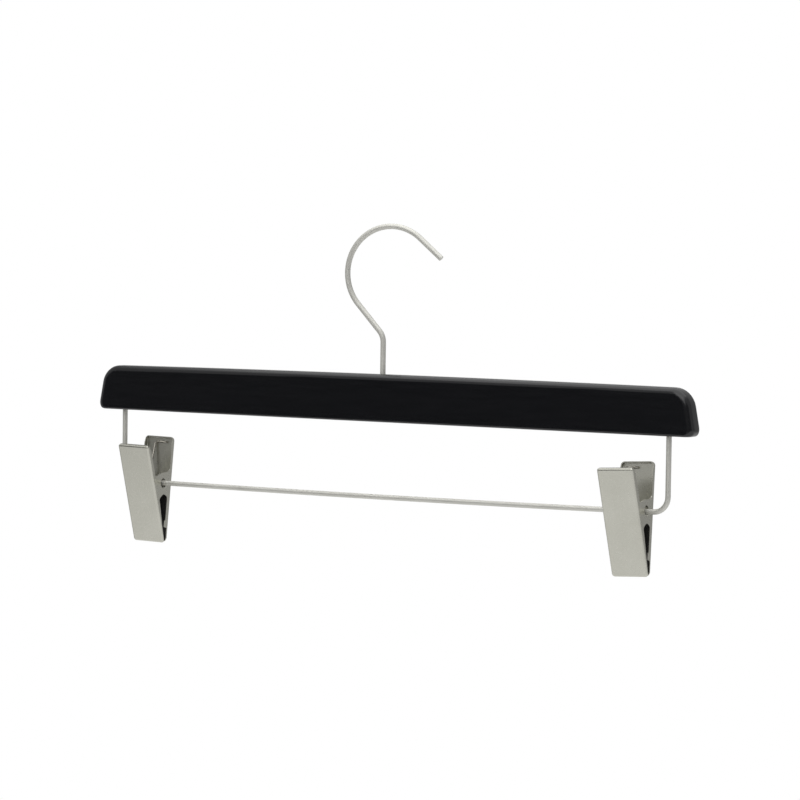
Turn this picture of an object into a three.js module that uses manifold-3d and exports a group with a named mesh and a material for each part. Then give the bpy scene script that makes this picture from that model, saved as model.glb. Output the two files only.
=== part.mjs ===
// Clip hanger: wooden bar, swivelling wire hook, wire rail and two sprung clips that slide on the rail.
// Millimetres. The origin is the point inside the hook's crown that bears on a clothes rod.
// +X runs along the bar, -Y is the front and +Z is up.
import * as THREE from 'three';
import { mergeVertices } from 'three/addons/utils/BufferGeometryUtils.js';
import Module from 'manifold-3d';

const wasm = await Module();
wasm.setup();

const rad = THREE.MathUtils.degToRad;

// Driving dimensions
const barLength = 380.8;
const barHeight = 24.8;
const barThickness = 10;
const hookWire = 3;
const railWire = 2.8;
const hookRadius = 25.1;
const hookRise = 54;
const railDrop = 39.6;
const jawWidth = 21;
const jawLength = 59.1;
const sheet = 0.6;

// Clearances, and how far a cutting shape runs past what it cuts
const runningGap = 0.3;
const padGap = 0.25;
const earPlay = 0.15;
const cutPast = 1;

// Bar details: the foot is squeezed by some depth after its edges and corners are rounded
const barEdgeRound = 3;
const footSqueeze = 2;
const barEndSlope = 0.194;
const barCrown = 0.74;
const barTopCorner = 11.5;
const barBottomCorner = 5.8;

// Hook details: the offset is from the stem to the middle of the crown
const hookWireRadius = hookWire / 2;
const hookTurn = rad(11);
const hookOffset = 3.95;
const hookDiagonal = rad(41.5);
const hookTailAngle = rad(41.2);
const hookTailLength = 16.2;
const stemBend = 9;
const counterboreRadius = 3.1;
const counterboreDepth = 7;
const washerRadius = 2.8;
const washerThickness = 0.8;
const headRadius = 2.3;
const headThickness = 1.5;

// Rail details: its right end is set a little higher than its left end
const railWireRadius = railWire / 2;
const railInset = 16.6;
const railSpan = barLength - 2 * railInset;
const railBend = 8;
const railRise = 1.25;
const railSag = 0.8;
const socketDepth = 15;

// Clip details: a reach is from the hinge line to the outer face of a jaw.
// The hinge line runs just under the ends of the rail.
const rearReach = 8.8;
const frontReach = 8.5;
const gripThickness = 4.3;
const pivotShare = 0.445;
const pivotDrop = 0.2;
const frontTrim = 1.5;
const bendRadius = 1;
const frontTopCorner = 1.2;
const frontBottomCorner = 1.6;
const rearCorner = 2.2;
const lipDepth = 2.1;
const flangeDepth = 2.7;
const earRadius = 5.9;
const slotPlay = 1.6;
const slotWidth = railWire + slotPlay;
const slotLength = 5.6;

// Jaw walls: how far the lips run, how the walls widen into the ears and narrow toward the grip
const lipRun = 2;
const earFlare = 2.7;
const earSlant = 0.4;
const earFillet = 1;
const wallStep = 0.5;
const taperShare = 0.32;
const toeRise = 5;
const frontToeDepth = 0.7;
const rearToeDepth = 1.3;
const tabRise = 10;
const tabHalf = 2.2;
const tabDepth = 4.2;
const tabSlant = 0.5;

// Spring and pads
const springWire = 1;
const springRadius = 3;
const coilGap = 0.5;
const springPitch = springWire + coilGap;
const springTurns = 4;
const springFoot = 7.8;
const footDrop = 3;
const padThickness = 2;
const padChamfer = 0.6;
const ridges = 5;
const ridgePitch = 1.9;
const ridgeDepth = 0.45;

// Heights
const crownZ = hookWireRadius - hookRadius;
const barTopZ = crownZ - hookRise;
const barZ = barTopZ - barCrown - barHeight;
const railZ = barZ - railDrop;
const stemX = -hookOffset * Math.cos(hookTurn);
const stemY = -hookOffset * Math.sin(hookTurn);

// Jaw lengths along the plate, measured from the foot of the rail's centre
const jawTop = pivotShare * jawLength;
const jawBottom = jawTop - jawLength;
const frontTop = jawTop - frontTrim;
const rearWidth = jawWidth - 2 * (sheet + earPlay);
const padHalfWidth = rearWidth / 2 - sheet - runningGap;
const jawAngle = leanThatCloses(rearReach + frontReach, -2 * jawBottom, gripThickness);

// Materials
const lacquer = new THREE.MeshStandardMaterial({ color: 0x141416, roughness: 0.45 });
const nickel = new THREE.MeshStandardMaterial({ color: 0xb4b2aa, metalness: 0.9, roughness: 0.4 });
const steel = new THREE.MeshStandardMaterial({ color: 0x9a9a98, metalness: 0.9, roughness: 0.4 });
const rubber = new THREE.MeshStandardMaterial({ color: 0x121212, roughness: 0.8 });

// The lean of each jaw that leaves the wanted thickness between their lower ends:
// reach * cos(lean) - length * sin(lean) = thickness
function leanThatCloses(reach, length, thickness) {
  const size = Math.hypot(reach, length);
  return Math.acos(thickness / size) - Math.atan2(length, reach);
}

// Solids and meshes
function solid(geometry) {
  const bare = new THREE.BufferGeometry();
  bare.setAttribute('position', geometry.getAttribute('position'));
  bare.setIndex(geometry.getIndex());
  const merged = mergeVertices(bare, 1e-4);
  const kept = [];
  const index = merged.getIndex().array;
  for (let i = 0; i < index.length; i += 3) {
    const [a, b, c] = index.slice(i, i + 3);
    if (a !== b && b !== c && c !== a) {
      kept.push(a, b, c);
    }
  }
  return new wasm.Manifold(new wasm.Mesh({
    numProp: 3,
    vertProperties: new Float32Array(merged.getAttribute('position').array),
    triVerts: new Uint32Array(kept),
  }));
}

function geometryOf(manifold) {
  const mesh = manifold.getMesh();
  const geometry = new THREE.BufferGeometry();
  geometry.setAttribute('position', new THREE.BufferAttribute(mesh.vertProperties, 3));
  geometry.setIndex(new THREE.BufferAttribute(mesh.triVerts, 1));
  return geometry;
}

const part = new THREE.Group();
part.name = 'clip_hanger';

function addPiece(name, geometry, material) {
  geometry.computeVertexNormals();
  const mesh = new THREE.Mesh(geometry, material);
  mesh.name = name;
  part.add(mesh);
}

// A closed outline whose corners are rounded, each by its own radius
function roundedOutline(corners, radii, steps) {
  const points = [];
  corners.forEach((corner, i) => {
    const before = corners[(i + corners.length - 1) % corners.length];
    const after = corners[(i + 1) % corners.length];
    const inward = before.clone().sub(corner).normalize();
    const outward = after.clone().sub(corner).normalize();
    const half = inward.angleTo(outward) / 2;
    const middle = inward.clone().add(outward).normalize();
    const centre = corner.clone().addScaledVector(middle, radii[i] / Math.sin(half));
    const start = corner.clone().addScaledVector(inward, radii[i] / Math.tan(half)).sub(centre);
    const sweep = Math.PI - 2 * half;
    const turn = Math.sign(outward.cross(inward));
    for (let k = 0; k <= steps; k += 1) {
      points.push(start.clone().rotateAround(new THREE.Vector2(), turn * sweep * k / steps).add(centre));
    }
  });
  return points;
}

// A straight cylinder from one height to another
function cylinder(radius, low, high, x, y, sides = 20) {
  const geometry = new THREE.CylinderGeometry(radius, radius, high - low, sides);
  geometry.rotateX(Math.PI / 2);
  geometry.translate(x, y, (low + high) / 2);
  return solid(geometry);
}

// A path through listed points, which it meets one by one
class PointPath extends THREE.Curve {
  constructor(points) {
    super();
    this.points = points;
  }

  getPoint(t) {
    const place = t * (this.points.length - 1);
    const i = Math.min(Math.floor(place), this.points.length - 2);
    return this.points[i].clone().lerp(this.points[i + 1], place - i);
  }

  getPointAt(t) {
    return this.getPoint(t);
  }

  getTangentAt(t) {
    const i = Math.round(t * (this.points.length - 1));
    const before = this.points[Math.max(i - 1, 0)];
    const after = this.points[Math.min(i + 1, this.points.length - 1)];
    return after.clone().sub(before).normalize();
  }
}

function wireAlong(points, radius, sides) {
  const section = arcPoints(0, 0, radius, 0, 2 * Math.PI, sides).slice(1);
  return new THREE.ExtrudeGeometry(new THREE.Shape(section), {
    steps: points.length - 1,
    bevelEnabled: false,
    extrudePath: new PointPath(points),
  });
}

// Points of a circular arc in a flat path, from one angle to another
function arcPoints(x, y, radius, from, to, steps) {
  return Array.from({ length: steps + 1 }, (_, k) => {
    const angle = from + (to - from) * k / steps;
    return new THREE.Vector2(x + radius * Math.cos(angle), y + radius * Math.sin(angle));
  });
}

// The bar's front outline, with sloping ends and a slightly crowned top, before its foot is squeezed
function barOutline() {
  const foot = barLength / 2 + barEndSlope * footSqueeze;
  const top = barLength / 2 - barEndSlope * barHeight;
  const corners = [[-foot, -footSqueeze], [foot, -footSqueeze], [top, barHeight], [-top, barHeight]];
  const radii = [barBottomCorner, barBottomCorner, barTopCorner, barTopCorner];
  const outline = roundedOutline(corners.map((c) => new THREE.Vector2(...c)), radii, 8);
  const topSteps = 16;
  const topEnd = outline.findLastIndex((p) => p.x > 0);
  const right = outline[topEnd];
  const left = outline[topEnd + 1];
  const inner = Array.from({ length: topSteps - 1 }, (_, k) => right.clone().lerp(left, (k + 1) / topSteps));
  inner.forEach((p) => {
    p.y += barCrown * (1 - (p.x / right.x) ** 2);
  });
  outline.splice(topEnd + 1, 0, ...inner);
  return outline;
}

// Lifts the foot by its squeeze, and less further up, so that its edges end up less round than the top's
function squeezeFoot(geometry) {
  const positions = geometry.getAttribute('position');
  for (let i = 0; i < positions.count; i += 1) {
    const rise = positions.getY(i) + footSqueeze;
    if (rise < 2 * footSqueeze) {
      positions.setY(i, rise ** 2 / (4 * footSqueeze));
    }
  }
}

// Bar: a block with rounded edges, bores for the hook and for both rail legs
function barSolid() {
  const block = new THREE.ExtrudeGeometry(new THREE.Shape(barOutline()), {
    depth: barThickness - 2 * barEdgeRound,
    bevelThickness: barEdgeRound,
    bevelSize: barEdgeRound,
    bevelOffset: -barEdgeRound,
    bevelSegments: 6,
  });
  squeezeFoot(block);
  block.rotateX(Math.PI / 2);
  block.translate(stemX, stemY + barThickness / 2 - barEdgeRound, barZ);
  const hookBore = hookWireRadius + runningGap;
  const legBore = railWireRadius + runningGap;
  let bar = solid(block);
  bar = bar.subtract(cylinder(hookBore, barZ - cutPast, barTopZ + cutPast, stemX, stemY));
  bar = bar.subtract(cylinder(counterboreRadius, barZ - cutPast, barZ + counterboreDepth, stemX, stemY, 28));
  [-1, 1].forEach((side) => {
    const x = stemX + side * railSpan / 2;
    bar = bar.subtract(cylinder(legBore, barZ - cutPast, barZ + socketDepth + runningGap, x, stemY));
  });
  return bar;
}
addPiece('bar', geometryOf(barSolid()), lacquer);

// Hook: peened head, stem, diagonal, crown and straight tail, in one upright plane
const washerTop = barZ + counterboreDepth - runningGap;
const headTop = washerTop - washerThickness - runningGap;

function hookSolid() {
  const diagonalStart = new THREE.Vector2(
    -hookRadius * Math.cos(hookDiagonal),
    crownZ - hookRadius * Math.sin(hookDiagonal),
  );
  const stemCorner = new THREE.Vector2(
    -hookOffset,
    diagonalStart.y - (-hookOffset - diagonalStart.x) / Math.tan(hookDiagonal),
  );
  const stemTop = stemCorner.y - stemBend * Math.tan(hookDiagonal / 2);
  const bend = arcPoints(-hookOffset - stemBend, stemTop, stemBend, 0, hookDiagonal, 6);
  const crown = arcPoints(0, crownZ, hookRadius, Math.PI + hookDiagonal, Math.PI / 2 - hookTailAngle, 44);
  const tailTip = crown[crown.length - 1].clone().add(new THREE.Vector2(
    hookTailLength * Math.cos(hookTailAngle),
    -hookTailLength * Math.sin(hookTailAngle),
  ));
  const stemFoot = new THREE.Vector2(-hookOffset, headTop - headThickness / 2);
  const flat = [stemFoot, new THREE.Vector2(-hookOffset, barTopZ), ...bend, ...crown, tailTip];
  const points = flat.map((p) => new THREE.Vector3(
    p.x * Math.cos(hookTurn),
    p.x * Math.sin(hookTurn),
    p.y,
  ));
  const head = new THREE.LatheGeometry([
    new THREE.Vector2(0, -headThickness),
    new THREE.Vector2(headRadius * 0.6, -headThickness),
    new THREE.Vector2(headRadius, -headThickness / 2),
    new THREE.Vector2(headRadius, 0),
    new THREE.Vector2(0, 0),
  ], 20);
  head.rotateX(Math.PI / 2);
  head.translate(stemX, stemY, headTop);
  return solid(wireAlong(points, hookWireRadius, 16)).add(solid(head));
}
addPiece('hook', geometryOf(hookSolid()), nickel);

// Washer that carries the hook's head, loose in the counterbore
function washerGeometry() {
  const bore = hookWireRadius + runningGap;
  const geometry = new THREE.LatheGeometry([
    new THREE.Vector2(bore, 0),
    new THREE.Vector2(washerRadius, 0),
    new THREE.Vector2(washerRadius, washerThickness),
    new THREE.Vector2(bore, washerThickness),
    new THREE.Vector2(bore, 0),
  ], 24);
  geometry.rotateX(Math.PI / 2);
  geometry.translate(stemX, stemY, washerTop - washerThickness);
  return geometry;
}
addPiece('hook_washer', geometryOf(solid(washerGeometry())), steel);

// Rail: two legs, two bends and a run that sags a little in the middle
const straightHalf = railSpan / 2 - railBend;

function chordHeight(x) {
  return railZ + railRise * x / (2 * straightHalf);
}

function railHeight(x) {
  return chordHeight(x) - railSag * (1 - (x / straightHalf) ** 2);
}

function railSolid() {
  const half = railSpan / 2;
  const runSteps = 12;
  const legTop = barZ + socketDepth;
  const leftBendZ = chordHeight(-straightHalf) + railBend;
  const rightBendZ = chordHeight(straightHalf) + railBend;
  const flat = [
    new THREE.Vector2(-half, legTop),
    ...arcPoints(-straightHalf, leftBendZ, railBend, Math.PI, 1.5 * Math.PI, 8),
  ];
  for (let k = 1; k < runSteps; k += 1) {
    const x = straightHalf * (2 * k / runSteps - 1);
    flat.push(new THREE.Vector2(x, railHeight(x)));
  }
  flat.push(...arcPoints(straightHalf, rightBendZ, railBend, 1.5 * Math.PI, 2 * Math.PI, 8));
  flat.push(new THREE.Vector2(half, legTop));
  const points = flat.map((p) => new THREE.Vector3(stemX + p.x, stemY, p.y));
  return solid(wireAlong(points, railWireRadius, 16));
}
addPiece('rail', geometryOf(railSolid()), nickel);

// Jaw plates are drawn flat: x across, s up along the plate, v inward from the outer face
function trayShape(width, low, high, lowCorner, highCorner) {
  const half = width / 2;
  const corners = [[-half, low], [half, low], [half, high], [-half, high]];
  const radii = [lowCorner, lowCorner, highCorner, highCorner];
  return new THREE.Shape(roundedOutline(corners.map((c) => new THREE.Vector2(...c)), radii, 5));
}

function roundedBlock(shape, start, length, round) {
  const geometry = new THREE.ExtrudeGeometry(shape, {
    depth: length,
    bevelThickness: round,
    bevelSize: round,
    bevelOffset: -round,
    bevelSegments: 4,
  });
  geometry.translate(0, 0, start + round);
  return solid(geometry);
}

// A pressed tray with walls all round, as deep as the ears need
function traySolid(width, low, high, lowCorner, highCorner, depth) {
  const outer = trayShape(width, low, high, lowCorner, highCorner);
  const innerWidth = width - 2 * sheet;
  const inner = trayShape(innerWidth, low + sheet, high - sheet, lowCorner - sheet, highCorner - sheet);
  const block = roundedBlock(outer, 0, depth, bendRadius);
  return block.subtract(roundedBlock(inner, sheet, depth, bendRadius - sheet));
}

// A side outline drawn in s and v, pushed across x
function acrossX(shape, from, to) {
  const geometry = new THREE.ExtrudeGeometry(shape, {
    depth: to - from,
    bevelEnabled: false,
    curveSegments: 10,
  });
  const swap = new THREE.Matrix4().makeBasis(
    new THREE.Vector3(0, 1, 0),
    new THREE.Vector3(0, 0, 1),
    new THREE.Vector3(1, 0, 0),
  );
  geometry.applyMatrix4(swap);
  geometry.translate(from, 0, 0);
  return solid(geometry);
}

function slotShape(reach) {
  const half = slotLength / 2 - slotWidth / 2;
  const shape = new THREE.Shape();
  shape.absarc(half, reach, slotWidth / 2, -Math.PI / 2, Math.PI / 2, false);
  shape.absarc(-half, reach, slotWidth / 2, Math.PI / 2, 1.5 * Math.PI, false);
  return shape;
}

// The walls of a jaw are cut to a depth that changes along the plate. Both start with the lip at the top.
function wallFromTop(top) {
  const shape = new THREE.Shape();
  shape.moveTo(jawBottom - cutPast, -cutPast);
  shape.lineTo(top + cutPast, -cutPast);
  shape.lineTo(top + cutPast, lipDepth);
  shape.lineTo(top - lipRun, lipDepth);
  shape.lineTo(top - 2 * lipRun, flangeDepth);
  return shape;
}

// Rear jaw: flange, ear round the rail, deeper flange with the pad tab, shallow toe
function rearProfile() {
  const tabMiddle = jawBottom + tabRise;
  const lowDepth = flangeDepth + wallStep;
  const shape = wallFromTop(jawTop);
  shape.lineTo(earRadius + earFlare, flangeDepth);
  shape.quadraticCurveTo(earRadius + earSlant, flangeDepth, earRadius, rearReach);
  shape.absarc(0, rearReach, earRadius, 0, Math.PI, false);
  shape.quadraticCurveTo(-earRadius - earSlant, lowDepth, -earRadius - earFlare, lowDepth);
  shape.lineTo(tabMiddle + tabHalf, lowDepth);
  shape.lineTo(tabMiddle + tabHalf - tabSlant, tabDepth);
  shape.lineTo(tabMiddle - tabHalf + tabSlant, tabDepth);
  shape.lineTo(tabMiddle - tabHalf, rearToeDepth + earSlant);
  shape.lineTo(jawBottom - cutPast, rearToeDepth);
  shape.closePath();
  return shape;
}

// Front jaw: flange, ear that covers the rear ear, flange that narrows toward the grip
function frontProfile() {
  const shape = wallFromTop(frontTop);
  shape.lineTo(earRadius + earFillet, flangeDepth);
  shape.quadraticCurveTo(earRadius, flangeDepth, earRadius, flangeDepth + earFillet);
  shape.lineTo(earRadius, frontReach);
  shape.absarc(0, frontReach, earRadius, 0, Math.PI, false);
  shape.quadraticCurveTo(-earRadius - earSlant, flangeDepth, -earRadius - earFlare, flangeDepth);
  shape.lineTo(jawBottom * taperShare, flangeDepth);
  shape.lineTo(jawBottom + toeRise, frontToeDepth + earSlant);
  shape.lineTo(jawBottom - cutPast, frontToeDepth);
  shape.closePath();
  return shape;
}

function rearJawSolid() {
  const tray = traySolid(rearWidth, jawBottom, jawTop, rearCorner, rearCorner, rearReach + earRadius);
  const jaw = tray.intersect(acrossX(rearProfile(), -jawWidth, jawWidth));
  return jaw.subtract(acrossX(slotShape(rearReach), -jawWidth, jawWidth));
}

function frontJawSolid() {
  const depth = frontReach + earRadius;
  const tray = traySolid(jawWidth, jawBottom, frontTop, frontBottomCorner, frontTopCorner, depth);
  const jaw = tray.intersect(acrossX(frontProfile(), -jawWidth, jawWidth));
  return jaw.subtract(acrossX(slotShape(frontReach), -jawWidth, jawWidth));
}

// Pad: a wedge with ridges on the grip, from the lower lip to just under the rail
function padSolid() {
  const back = sheet + padGap;
  const low = jawBottom + sheet + padGap;
  const top = -earRadius;
  const upperFace = back + padThickness;
  const gripLow = low + ridgeDepth;
  const gripFace = (s) => (rearReach + frontReach) / 2 + s * Math.tan(jawAngle) - padGap / 2;
  const shape = new THREE.Shape();
  shape.moveTo(low, back);
  shape.lineTo(top, back);
  shape.lineTo(top, upperFace - padChamfer);
  shape.lineTo(top - padChamfer, upperFace);
  shape.lineTo(gripLow + ridges * ridgePitch + padThickness, upperFace);
  for (let k = ridges; k > 0; k -= 1) {
    const s = gripLow + k * ridgePitch;
    shape.lineTo(s, gripFace(s) - ridgeDepth);
    shape.lineTo(s - ridgePitch * 0.3, gripFace(s - ridgePitch * 0.3));
    shape.lineTo(s - ridgePitch * 0.8, gripFace(s - ridgePitch * 0.8));
  }
  shape.lineTo(low, gripFace(low) - ridgeDepth);
  shape.closePath();
  const plan = trayShape(2 * padHalfWidth, low, top, rearCorner - sheet, frontTopCorner);
  const wedge = acrossX(shape, -padHalfWidth, padHalfWidth);
  return wedge.intersect(roundedBlock(plan, back, upperFace, padChamfer));
}

// Spring: foot, leg, coil round the rail, leg, foot, all one wire
function footPoint(reach, top) {
  const depth = sheet + runningGap + springWire / 2;
  const s = top - footDrop;
  const y = (reach - depth) * Math.cos(jawAngle) + s * Math.sin(jawAngle);
  const z = s * Math.cos(jawAngle) - (reach - depth) * Math.sin(jawAngle);
  return new THREE.Vector2(y, z);
}

function springPath(stepsPerTurn) {
  const rearFoot = footPoint(rearReach, jawTop);
  const frontFoot = footPoint(frontReach, frontTop);
  frontFoot.x = -frontFoot.x;
  const rearTouch = rearFoot.angle() - Math.acos(springRadius / rearFoot.length());
  const frontTouch = frontFoot.angle() + Math.acos(springRadius / frontFoot.length()) - 2 * Math.PI;
  const sweep = rearTouch - frontTouch + 2 * Math.PI * springTurns;
  const steps = Math.ceil(stepsPerTurn * sweep / (2 * Math.PI));
  const coilHalf = springPitch * sweep / (4 * Math.PI);
  const coil = Array.from({ length: steps + 1 }, (_, k) => {
    const angle = rearTouch - sweep * k / steps;
    const x = coilHalf * (2 * k / steps - 1);
    return new THREE.Vector3(x, springRadius * Math.cos(angle), springRadius * Math.sin(angle));
  });
  const rear = legPoints(coil[0], rearFoot, 1);
  const front = legPoints(coil[steps], frontFoot, -1);
  return [...rear.reverse(), ...coil, ...front];
}

// A leg from the coil to a jaw, then a rounded corner and a straight foot along the rail
function legPoints(touch, foot, direction) {
  const corner = new THREE.Vector3(touch.x, foot.x, foot.y);
  const down = touch.clone().sub(corner).normalize();
  const along = new THREE.Vector3(direction, 0, 0);
  const round = 1.2 * springWire;
  const points = [touch.clone().addScaledVector(down, -springWire)];
  for (let k = 0; k <= 4; k += 1) {
    const angle = Math.PI / 2 * k / 4;
    const point = corner.clone().addScaledVector(down, round * (1 - Math.sin(angle)));
    points.push(point.addScaledVector(along, round * (1 - Math.cos(angle))));
  }
  points.push(corner.clone().addScaledVector(along, springFoot));
  return points;
}

// Least gap of the spring's wire to itself, between points more than half a turn of wire apart
function leastSpringGap() {
  const points = springPath(48);
  const apart = Math.PI * springRadius;
  const run = [0];
  for (let i = 1; i < points.length; i += 1) {
    run.push(run[i - 1] + points[i].distanceTo(points[i - 1]));
  }
  let least = Infinity;
  points.forEach((p, i) => {
    for (let j = i + 1; j < points.length; j += 1) {
      if (run[j] - run[i] > apart) {
        least = Math.min(least, p.distanceTo(points[j]) - springWire);
      }
    }
  });
  return least;
}
console.log(`spring: least gap to itself ${leastSpringGap().toFixed(2)} mm`);

// Clips: each hangs in its own pose, as its slots and its weight leave it,
// with its spring anywhere between its ears
function jawPlace(reach, front) {
  const turned = front ? -1 : 1;
  const across = new THREE.Vector3(turned, 0, 0);
  const up = new THREE.Vector3(0, turned * Math.sin(jawAngle), Math.cos(jawAngle));
  const inward = new THREE.Vector3(0, -turned * Math.cos(jawAngle), Math.sin(jawAngle));
  const offset = inward.clone().multiplyScalar(-reach);
  return new THREE.Matrix4().makeBasis(across, up, inward).setPosition(offset);
}

const springReach = Math.max(...springPath(8).map((p) => Math.abs(p.x)));
const springRoom = padHalfWidth - springReach;
const clips = [
  { side: 'left', hand: -1, fromBend: -1.6, swing: rad(5.6), tilt: rad(0.9), springShare: 0.1 },
  { side: 'right', hand: 1, fromBend: 4.1, swing: rad(1.6), tilt: rad(-3.1), springShare: -0.95 },
];

clips.forEach(({ side, hand, fromBend, swing, tilt, springShare }) => {
  const x = hand * (straightHalf - jawWidth / 2 - fromBend);
  const hang = new THREE.Matrix4().makeTranslation(stemX + x, stemY, chordHeight(x) - pivotDrop)
    .multiply(new THREE.Matrix4().makeRotationY(tilt))
    .multiply(new THREE.Matrix4().makeRotationX(swing));
  const rear = hang.clone().multiply(jawPlace(rearReach, false));
  const front = hang.clone().multiply(jawPlace(frontReach, true));
  const spring = solid(wireAlong(springPath(8), springWire / 2, 5));
  const shifted = hang.clone().multiply(new THREE.Matrix4().makeTranslation(springShare * springRoom, 0, 0));
  addPiece(`${side}_rear_jaw`, geometryOf(rearJawSolid()).applyMatrix4(rear), nickel);
  addPiece(`${side}_front_jaw`, geometryOf(frontJawSolid()).applyMatrix4(front), nickel);
  addPiece(`${side}_rear_pad`, geometryOf(padSolid()).applyMatrix4(rear), rubber);
  addPiece(`${side}_front_pad`, geometryOf(padSolid()).applyMatrix4(front), rubber);
  addPiece(`${side}_spring`, geometryOf(spring).applyMatrix4(shifted), steel);
});

export default part;
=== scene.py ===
import math

import bmesh
import bpy
from mathutils import Matrix, Vector


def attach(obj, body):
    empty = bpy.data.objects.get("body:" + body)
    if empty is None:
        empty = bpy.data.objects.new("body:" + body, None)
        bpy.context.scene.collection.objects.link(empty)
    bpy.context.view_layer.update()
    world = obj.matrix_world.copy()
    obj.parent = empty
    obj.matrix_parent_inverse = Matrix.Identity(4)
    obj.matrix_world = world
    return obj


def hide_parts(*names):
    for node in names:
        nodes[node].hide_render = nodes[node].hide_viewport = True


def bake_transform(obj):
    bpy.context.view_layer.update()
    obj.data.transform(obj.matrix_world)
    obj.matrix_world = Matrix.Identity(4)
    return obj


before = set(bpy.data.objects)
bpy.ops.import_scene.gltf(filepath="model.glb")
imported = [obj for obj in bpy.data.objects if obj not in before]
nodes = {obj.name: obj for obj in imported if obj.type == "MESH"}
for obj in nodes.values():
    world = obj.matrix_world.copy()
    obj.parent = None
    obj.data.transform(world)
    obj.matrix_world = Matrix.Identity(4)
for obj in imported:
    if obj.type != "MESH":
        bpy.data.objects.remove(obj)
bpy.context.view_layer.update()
scene = bpy.context.scene
scene.view_settings.view_transform = "Standard"
MM = 0.001

# The part's own sizes, in millimetres, repeated where the scene rebuilds a piece
HOOK_OFFSET = 3.95
HOOK_TURN = math.radians(11)
BAR_FOOT_HEIGHT = -103.14
STEM = Vector((-HOOK_OFFSET * math.cos(HOOK_TURN), -HOOK_OFFSET * math.sin(HOOK_TURN), BAR_FOOT_HEIGHT))
RAIL_DROP = 39.6
RAIL_RISE = 1.25
STRAIGHT_HALF = 165.8
PIVOT_DROP = 0.2
SHEET = 0.6
RUNNING_GAP = 0.3
JAW_WIDTH = 21
EAR_PLAY = 0.15
JAW_LENGTH = 59.1
PIVOT_SHARE = 0.445
JAW_TOP = PIVOT_SHARE * JAW_LENGTH
JAW_BOTTOM = JAW_TOP - JAW_LENGTH
REAR_REACH = 8.8
FRONT_REACH = 8.5
GRIP_THICKNESS = 4.3
FRONT_TRIM = 1.5
SPRING_WIRE = 1
SPRING_RADIUS = 3
SPRING_PITCH = 1.5
SPRING_TURNS = 4
SPRING_FOOT = 7.8
FOOT_DROP = 3
FOOT_BEND = 1.2 * SPRING_WIRE
CLIPS = {
    "left": {"hand": -1, "from_bend": -1.6, "swing": 5.6, "tilt": 0.9, "spring_share": 0.1},
    "right": {"hand": 1, "from_bend": 4.1, "swing": 1.6, "tilt": -3.1, "spring_share": -0.95},
}
JAWS = ("rear", "front")

# Rounding, shading and steps that only the scene has
PAD_EDGE_ROUND = 0.3
PAD_EDGE_STEPS = 4
PAD_EDGE_ANGLE = math.radians(30)
FLAT_ANGLE = math.radians(1)
SHARP_ANGLE = math.radians(40)
NORMAL_WEIGHT = 50
MERGE_DISTANCE = 0.001 * MM
COIL_STEPS = 32
LEG_STEPS = 4
BEND_STEPS = 8
WIRE_SIDES = 12

# The camera that was fitted to the photograph: angles, distance and framing, in millimetres and pixels.
# The framing is measured from the bar's foot at the stem.
IMAGE_SIDE = 800
SENSOR_WIDTH = 36
FOCAL_PIXELS = 3201.1
YAW = math.radians(33)
PITCH = math.radians(2.796)
ROLL = math.radians(0.759)
DISTANCE = 1714.3
OFF_RIGHT = -9.53
OFF_UP = -11.73

# Stage and light, in metres and watts. The floor lies mostly to the right, so that the left clip reflects
# less of it.
WHITE = (1, 1, 1, 1)
FLOOR_PLACE = (0.74, 0, -0.55)
FLOOR_HALF = 1.5
FLOOR_COLOUR = (0.85, 0.85, 0.85, 1)
FLOOR_ROUGHNESS = 0.9
LIGHT_TARGET = Vector((0, 0, -0.1))
LIGHTS = {
    "overhead_softbox": {"place": Vector((0, -0.1, 1.15)), "width": 2.1, "height": 2.2, "power": 18.5},
    "front_softbox": {"place": Vector((0.2, -1.5, 0.75)), "width": 1.3, "height": 0.9, "power": 6.5},
}

# The room is an even grey with soft darker patches. One at the front left keeps the bar's front black, a
# wide low one at the front keeps its right end dark, and one at the back right shades the side faces. A patch
# has the cosines where it starts and where it is full, the share of light left there, and its width over its
# height.
ROOM_GREY = 0.58
FRONT_PATCH_TURN = math.radians(25)
ROOM_PATCHES = {
    "front_left": {
        "toward": Vector((-math.sin(YAW), -math.cos(YAW), -0.14)),
        "starts": 0.945,
        "full": 0.98,
        "share": 0.07,
        "flatness": 1,
    },
    "front": {
        "toward": Vector((math.sin(FRONT_PATCH_TURN), -math.cos(FRONT_PATCH_TURN), 0.1)),
        "starts": 0.6,
        "full": 0.75,
        "share": 0.25,
        "flatness": 2.5,
    },
    "back_right": {
        "toward": Vector((math.sin(YAW), math.cos(YAW), 0)),
        "starts": 0.6,
        "full": 0.9,
        "share": 0.72,
        "flatness": 1,
    },
}

# The middle part of a noise texture's range, which holds nearly all its values
NOISE_LOW = 0.3
NOISE_HIGH = 0.7


# Materials
def new_material(name):
    material = bpy.data.materials.new(name)
    material.use_nodes = True
    tree = material.node_tree
    return material, tree, tree.nodes["Principled BSDF"]


def add_node(tree, kind, **values):
    node = tree.nodes.new(kind)
    for name, value in values.items():
        if hasattr(node, name):
            setattr(node, name, value)
        else:
            node.inputs[name.replace("_", " ")].default_value = value
    return node


def add_noise(tree, scale, detail, stretch=(1, 1, 1)):
    coordinates = add_node(tree, "ShaderNodeTexCoord")
    mapping = add_node(tree, "ShaderNodeMapping")
    mapping.inputs["Scale"].default_value = stretch
    noise = add_node(tree, "ShaderNodeTexNoise", Scale=scale, Detail=detail)
    tree.links.new(coordinates.outputs["Object"], mapping.inputs["Vector"])
    tree.links.new(mapping.outputs["Vector"], noise.inputs["Vector"])
    return noise.outputs["Fac"]


def vary_roughness(tree, shader, noise, low, high):
    ramp = add_node(tree, "ShaderNodeMapRange", From_Min=NOISE_LOW, From_Max=NOISE_HIGH,
                    To_Min=low, To_Max=high)
    tree.links.new(noise, ramp.inputs["Value"])
    tree.links.new(ramp.outputs["Result"], shader.inputs["Roughness"])


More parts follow.
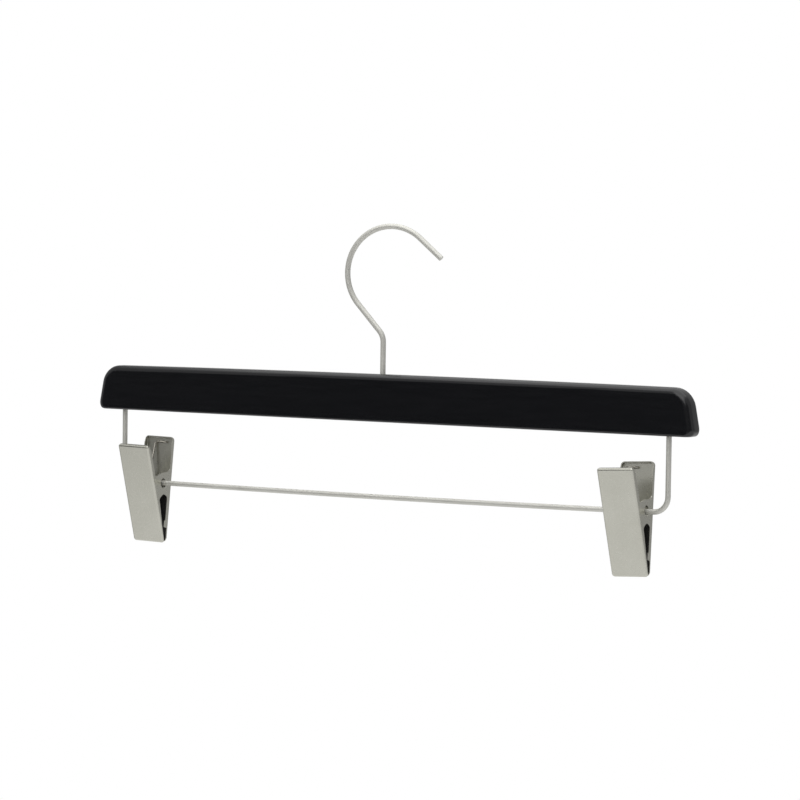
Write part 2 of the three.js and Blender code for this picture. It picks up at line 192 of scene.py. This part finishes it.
def vary_colour(tree, shader, noise, dark, light):
    ramp = add_node(tree, "ShaderNodeValToRGB")
    ramp.color_ramp.elements[0].position = NOISE_LOW
    ramp.color_ramp.elements[0].color = (*dark, 1)
    ramp.color_ramp.elements[1].position = NOISE_HIGH
    ramp.color_ramp.elements[1].color = (*light, 1)
    tree.links.new(noise, ramp.inputs["Fac"])
    tree.links.new(ramp.outputs["Color"], shader.inputs["Base Color"])


def add_bumps(tree, shader, noises, strength, distance):
    previous = None
    for noise in noises:
        bump = add_node(tree, "ShaderNodeBump", Strength=strength, Distance=distance)
        tree.links.new(noise, bump.inputs["Height"])
        if previous is not None:
            tree.links.new(previous.outputs["Normal"], bump.inputs["Normal"])
        previous = bump
    tree.links.new(previous.outputs["Normal"], shader.inputs["Normal"])


def lacquered_wood():
    material, tree, shader = new_material("black_lacquered_wood")
    grain = add_noise(tree, scale=4, detail=8, stretch=(12, 160, 160))
    film = add_noise(tree, scale=900, detail=3)
    vary_colour(tree, shader, grain, dark=(0.003, 0.0033, 0.0044), light=(0.0038, 0.0041, 0.0054))
    vary_roughness(tree, shader, grain, low=0.2, high=0.23)
    add_bumps(tree, shader, [grain, film], strength=0.03, distance=0.0004)
    shader.inputs["IOR"].default_value = 1.5
    return material


def plated_metal(name, dark, light, smooth, rough):
    material, tree, shader = new_material(name)
    fine = add_noise(tree, scale=30, detail=4, stretch=(60, 60, 60))
    cloud = add_noise(tree, scale=60, detail=3)
    vary_colour(tree, shader, cloud, dark, light)
    vary_roughness(tree, shader, fine, low=smooth, high=rough)
    add_bumps(tree, shader, [fine], strength=0.02, distance=0.0002)
    shader.inputs["Metallic"].default_value = 1
    return material


def rubber():
    material, tree, shader = new_material("black_rubber")
    speckle = add_noise(tree, scale=1500, detail=3)
    vary_colour(tree, shader, speckle, dark=(0.008, 0.008, 0.008), light=(0.016, 0.016, 0.015))
    vary_roughness(tree, shader, speckle, low=0.65, high=0.8)
    add_bumps(tree, shader, [speckle], strength=0.15, distance=0.0003)
    return material


lacquer = lacquered_wood()
nickel_sheet = plated_metal(
    "nickel_sheet",
    dark=(0.505, 0.5, 0.442),
    light=(0.545, 0.54, 0.482),
    smooth=0.26,
    rough=0.34,
)
nickel_wire = plated_metal(
    "nickel_wire",
    dark=(0.62, 0.615, 0.575),
    light=(0.67, 0.665, 0.625),
    smooth=0.58,
    rough=0.64,
)
spring_steel = plated_metal(
    "spring_steel",
    dark=(0.42, 0.4, 0.35),
    light=(0.48, 0.46, 0.41),
    smooth=0.22,
    rough=0.3,
)
black_rubber = rubber()


# Flat faces keep their own normals next to rounded ones
def weigh_normals(piece):
    weighted = piece.modifiers.new("even_normals", "WEIGHTED_NORMAL")
    weighted.mode = "FACE_AREA"
    weighted.weight = NORMAL_WEIGHT


# CAD nodes that keep their shape: curved faces are shaded as round, and sharp edges stay sharp
def finish_node(name, material):
    node = nodes[name]
    node.data.materials.clear()
    node.data.materials.append(material)
    node.data.shade_smooth()
    weld = node.modifiers.new("joined_corners", "WELD")
    weld.merge_threshold = MERGE_DISTANCE
    split = node.modifiers.new("sharp_edges", "EDGE_SPLIT")
    split.split_angle = SHARP_ANGLE
    weigh_normals(node)


finish_node("bar", lacquer)
finish_node("hook", nickel_wire)
finish_node("hook_washer", spring_steel)
finish_node("rail", nickel_wire)
for side in CLIPS:
    for jaw in JAWS:
        finish_node(f"{side}_{jaw}_jaw", nickel_sheet)


# Grip pads: the part's rubber strips with their edges rounded as moulded rubber has them
def moulded_pad(side, jaw):
    name = f"{side}_{jaw}_grip"
    mesh = bpy.data.meshes.new(name)
    work = bmesh.new()
    work.from_mesh(nodes[f"{side}_{jaw}_pad"].data)
    bmesh.ops.remove_doubles(work, verts=work.verts, dist=MERGE_DISTANCE)
    bmesh.ops.dissolve_limit(work, angle_limit=FLAT_ANGLE, verts=work.verts, edges=work.edges)
    rims = [edge for edge in work.edges if edge.calc_face_angle() > PAD_EDGE_ANGLE]
    bmesh.ops.bevel(work, geom=rims, offset=PAD_EDGE_ROUND * MM, offset_type="OFFSET",
                    segments=PAD_EDGE_STEPS, profile=0.5, affect="EDGES", clamp_overlap=True)
    for face in work.faces:
        face.smooth = True
    work.to_mesh(mesh)
    work.free()
    pad = bpy.data.objects.new(name, mesh)
    scene.collection.objects.link(pad)
    pad.data.materials.append(black_rubber)
    weigh_normals(pad)
    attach(pad, f"{side}_{jaw}_jaw")
    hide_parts(f"{side}_{jaw}_pad")


for side in CLIPS:
    for jaw in JAWS:
        moulded_pad(side, jaw)


# Springs: the same wire as in the part, round and smooth
def tube_mesh(name, points, radius):
    mesh = bpy.data.meshes.new(name)
    work = bmesh.new()
    rings = []
    normal = Vector((0, 0, 1))
    for i, point in enumerate(points):
        before = points[max(i - 1, 0)]
        after = points[min(i + 1, len(points) - 1)]
        tangent = (after - before).normalized()
        normal = (normal - tangent * normal.dot(tangent)).normalized()
        across = tangent.cross(normal)
        ring = []
        for k in range(WIRE_SIDES):
            angle = 2 * math.pi * k / WIRE_SIDES
            outward = math.cos(angle) * normal + math.sin(angle) * across
            ring.append(work.verts.new(point + radius * outward))
        rings.append(ring)
    for ring, following in zip(rings, rings[1:]):
        for k in range(WIRE_SIDES):
            after = (k + 1) % WIRE_SIDES
            work.faces.new((ring[k], ring[after], following[after], following[k]))
    work.faces.new(list(reversed(rings[0])))
    work.faces.new(rings[-1])
    bmesh.ops.recalc_face_normals(work, faces=work.faces)
    for face in work.faces:
        face.smooth = len(face.verts) == 4
    work.to_mesh(mesh)
    work.free()
    return mesh


# The lean of each jaw that leaves the grip's thickness between their lower ends
def jaw_lean():
    reach = REAR_REACH + FRONT_REACH
    length = -2 * JAW_BOTTOM
    return math.acos(GRIP_THICKNESS / math.hypot(reach, length)) - math.atan2(length, reach)


# Where a spring's foot bears on a jaw, as y and z from the pivot
def foot_point(reach, top):
    lean = jaw_lean()
    depth = SHEET + RUNNING_GAP + SPRING_WIRE / 2
    along = top - FOOT_DROP
    y = (reach - depth) * math.cos(lean) + along * math.sin(lean)
    z = along * math.cos(lean) - (reach - depth) * math.sin(lean)
    return Vector((y, z))


# A leg runs from the coil to its corner, bends there, and ends in a foot along the jaw's width
def leg_points(touch, foot, direction):
    corner = Vector((touch.x, foot.x, foot.y))
    down = (touch - corner).normalized()
    along = Vector((direction, 0, 0))
    points = [touch.lerp(corner, k / LEG_STEPS) for k in range(1, LEG_STEPS)]
    for k in range(BEND_STEPS + 1):
        angle = math.pi / 2 * k / BEND_STEPS
        bend = down * (1 - math.sin(angle)) + along * (1 - math.cos(angle))
        points.append(corner + FOOT_BEND * bend)
    points.append(corner + along * SPRING_FOOT)
    return points


def spring_points():
    rear = foot_point(REAR_REACH, JAW_TOP)
    front = foot_point(FRONT_REACH, JAW_TOP - FRONT_TRIM)
    front.x = -front.x
    rear_touch = math.atan2(rear.y, rear.x) - math.acos(SPRING_RADIUS / rear.length)
    front_touch = math.atan2(front.y, front.x) + math.acos(SPRING_RADIUS / front.length) - 2 * math.pi
    sweep = rear_touch - front_touch + 2 * math.pi * SPRING_TURNS
    steps = math.ceil(COIL_STEPS * sweep / (2 * math.pi))
    half = SPRING_PITCH * sweep / (4 * math.pi)
    coil = []
    for k in range(steps + 1):
        angle = rear_touch - sweep * k / steps
        coil.append(Vector((
            half * (2 * k / steps - 1),
            SPRING_RADIUS * math.cos(angle),
            SPRING_RADIUS * math.sin(angle),
        )))
    rear_leg = leg_points(coil[0], rear, 1)
    front_leg = leg_points(coil[-1], front, -1)
    return [*reversed(rear_leg), *coil, *front_leg]


def spring_place(clip, points):
    x = clip["hand"] * (STRAIGHT_HALF - JAW_WIDTH / 2 - clip["from_bend"])
    z = STEM.z - RAIL_DROP + RAIL_RISE * x / (2 * STRAIGHT_HALF) - PIVOT_DROP
    room = JAW_WIDTH / 2 - 2 * SHEET - EAR_PLAY - RUNNING_GAP - max(abs(point.x) for point in points)
    place = Matrix.Translation((STEM.x + x, STEM.y, z))
    place = place @ Matrix.Rotation(math.radians(clip["tilt"]), 4, "Y")
    place = place @ Matrix.Rotation(math.radians(clip["swing"]), 4, "X")
    return place @ Matrix.Translation((clip["spring_share"] * room, 0, 0))


for side, clip in CLIPS.items():
    name = f"{side}_spring_wire"
    path = spring_points()
    place = spring_place(clip, path)
    points = [place @ point * MM for point in path]
    spring = bpy.data.objects.new(name, tube_mesh(name, points, SPRING_WIRE / 2 * MM))
    scene.collection.objects.link(spring)
    spring.data.materials.append(spring_steel)
    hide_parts(f"{side}_spring")
    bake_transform(spring)


# Camera
def make_camera():
    forward = Vector((-math.sin(YAW) * math.cos(PITCH), math.cos(YAW) * math.cos(PITCH), -math.sin(PITCH)))
    level_right = Vector((math.cos(YAW), math.sin(YAW), 0))
    level_up = level_right.cross(forward)
    right = math.cos(ROLL) * level_right + math.sin(ROLL) * level_up
    up = math.cos(ROLL) * level_up - math.sin(ROLL) * level_right
    data = bpy.data.cameras.new("camera")
    data.sensor_width = SENSOR_WIDTH
    data.lens = FOCAL_PIXELS / IMAGE_SIDE * SENSOR_WIDTH
    camera = bpy.data.objects.new("camera", data)
    turn = Matrix((right, up, -forward)).transposed().to_4x4()
    place = (STEM - OFF_RIGHT * right - OFF_UP * up - DISTANCE * forward) * MM
    camera.matrix_world = Matrix.Translation(place) @ turn
    scene.collection.objects.link(camera)
    scene.camera = camera


# Shows white in place of the plain surface to the camera and to the other rays that are named
def white_where_seen(tree, plain, white, output, also):
    path = add_node(tree, "ShaderNodeLightPath")
    seen = path.outputs["Is Camera Ray"]
    for kind in also:
        either = add_node(tree, "ShaderNodeMath", operation="MAXIMUM")
        tree.links.new(seen, either.inputs[0])
        tree.links.new(path.outputs[kind], either.inputs[1])
        seen = either.outputs["Value"]
    mix = add_node(tree, "ShaderNodeMixShader")
    tree.links.new(seen, mix.inputs["Fac"])
    tree.links.new(plain, mix.inputs[1])
    tree.links.new(white, mix.inputs[2])
    tree.links.new(mix.outputs["Shader"], output.inputs["Surface"])


def make_floor():
    mesh = bpy.data.meshes.new("floor")
    work = bmesh.new()
    bmesh.ops.create_grid(work, x_segments=1, y_segments=1, size=FLOOR_HALF)
    work.to_mesh(mesh)
    work.free()
    floor = bpy.data.objects.new("floor", mesh)
    floor.location = FLOOR_PLACE
    scene.collection.objects.link(floor)
    material, tree, shader = new_material("pale_floor")
    shader.inputs["Base Color"].default_value = FLOOR_COLOUR
    shader.inputs["Roughness"].default_value = FLOOR_ROUGHNESS
    white = add_node(tree, "ShaderNodeEmission", Color=WHITE, Strength=1)
    white_where_seen(tree, shader.outputs["BSDF"], white.outputs["Emission"],
                     tree.nodes["Material Output"], ("Is Glossy Ray", "Is Transmission Ray"))
    mesh.materials.append(material)


# The share of the room's light that a patch leaves, from 1 outside it down to its own share
def patch_shade(tree, direction, patch):
    flattened = add_node(tree, "ShaderNodeVectorMath", operation="MULTIPLY")
    flattened.inputs[1].default_value = (1, 1, patch["flatness"])
    heading = add_node(tree, "ShaderNodeVectorMath", operation="NORMALIZE")
    toward = add_node(tree, "ShaderNodeVectorMath", operation="DOT_PRODUCT")
    toward.inputs[1].default_value = patch["toward"].normalized()
    shade = add_node(tree, "ShaderNodeMapRange", From_Min=patch["starts"], From_Max=patch["full"],
                     To_Min=1, To_Max=patch["share"])
    tree.links.new(direction, flattened.inputs[0])
    tree.links.new(flattened.outputs["Vector"], heading.inputs[0])
    tree.links.new(heading.outputs["Vector"], toward.inputs[0])
    tree.links.new(toward.outputs["Value"], shade.inputs["Value"])
    return shade.outputs["Result"]


def make_world():
    world = bpy.data.worlds.new("studio")
    world.use_nodes = True
    scene.world = world
    tree = world.node_tree
    room = tree.nodes["Background"]
    room.inputs["Strength"].default_value = 1
    direction = add_node(tree, "ShaderNodeTexCoord").outputs["Generated"]
    level = None
    for patch in ROOM_PATCHES.values():
        shaded = add_node(tree, "ShaderNodeMath", operation="MULTIPLY")
        shaded.inputs[1].default_value = ROOM_GREY
        tree.links.new(patch_shade(tree, direction, patch), shaded.inputs[0])
        if level is not None:
            tree.links.new(level, shaded.inputs[1])
        level = shaded.outputs["Value"]
    tree.links.new(level, room.inputs["Color"])
    white = add_node(tree, "ShaderNodeBackground", Color=WHITE, Strength=1)
    white_where_seen(tree, room.outputs["Background"], white.outputs["Background"],
                     tree.nodes["World Output"], ("Is Transmission Ray",))


def add_light(name, light):
    data = bpy.data.lights.new(name, "AREA")
    data.shape = "RECTANGLE"
    data.size = light["width"]
    data.size_y = light["height"]
    data.energy = light["power"]
    lamp = bpy.data.objects.new(name, data)
    lamp.location = light["place"]
    lamp.rotation_euler = (LIGHT_TARGET - light["place"]).to_track_quat("-Z", "Y").to_euler()
    scene.collection.objects.link(lamp)


make_camera()
make_floor()
make_world()
for name, light in LIGHTS.items():
    add_light(name, light)
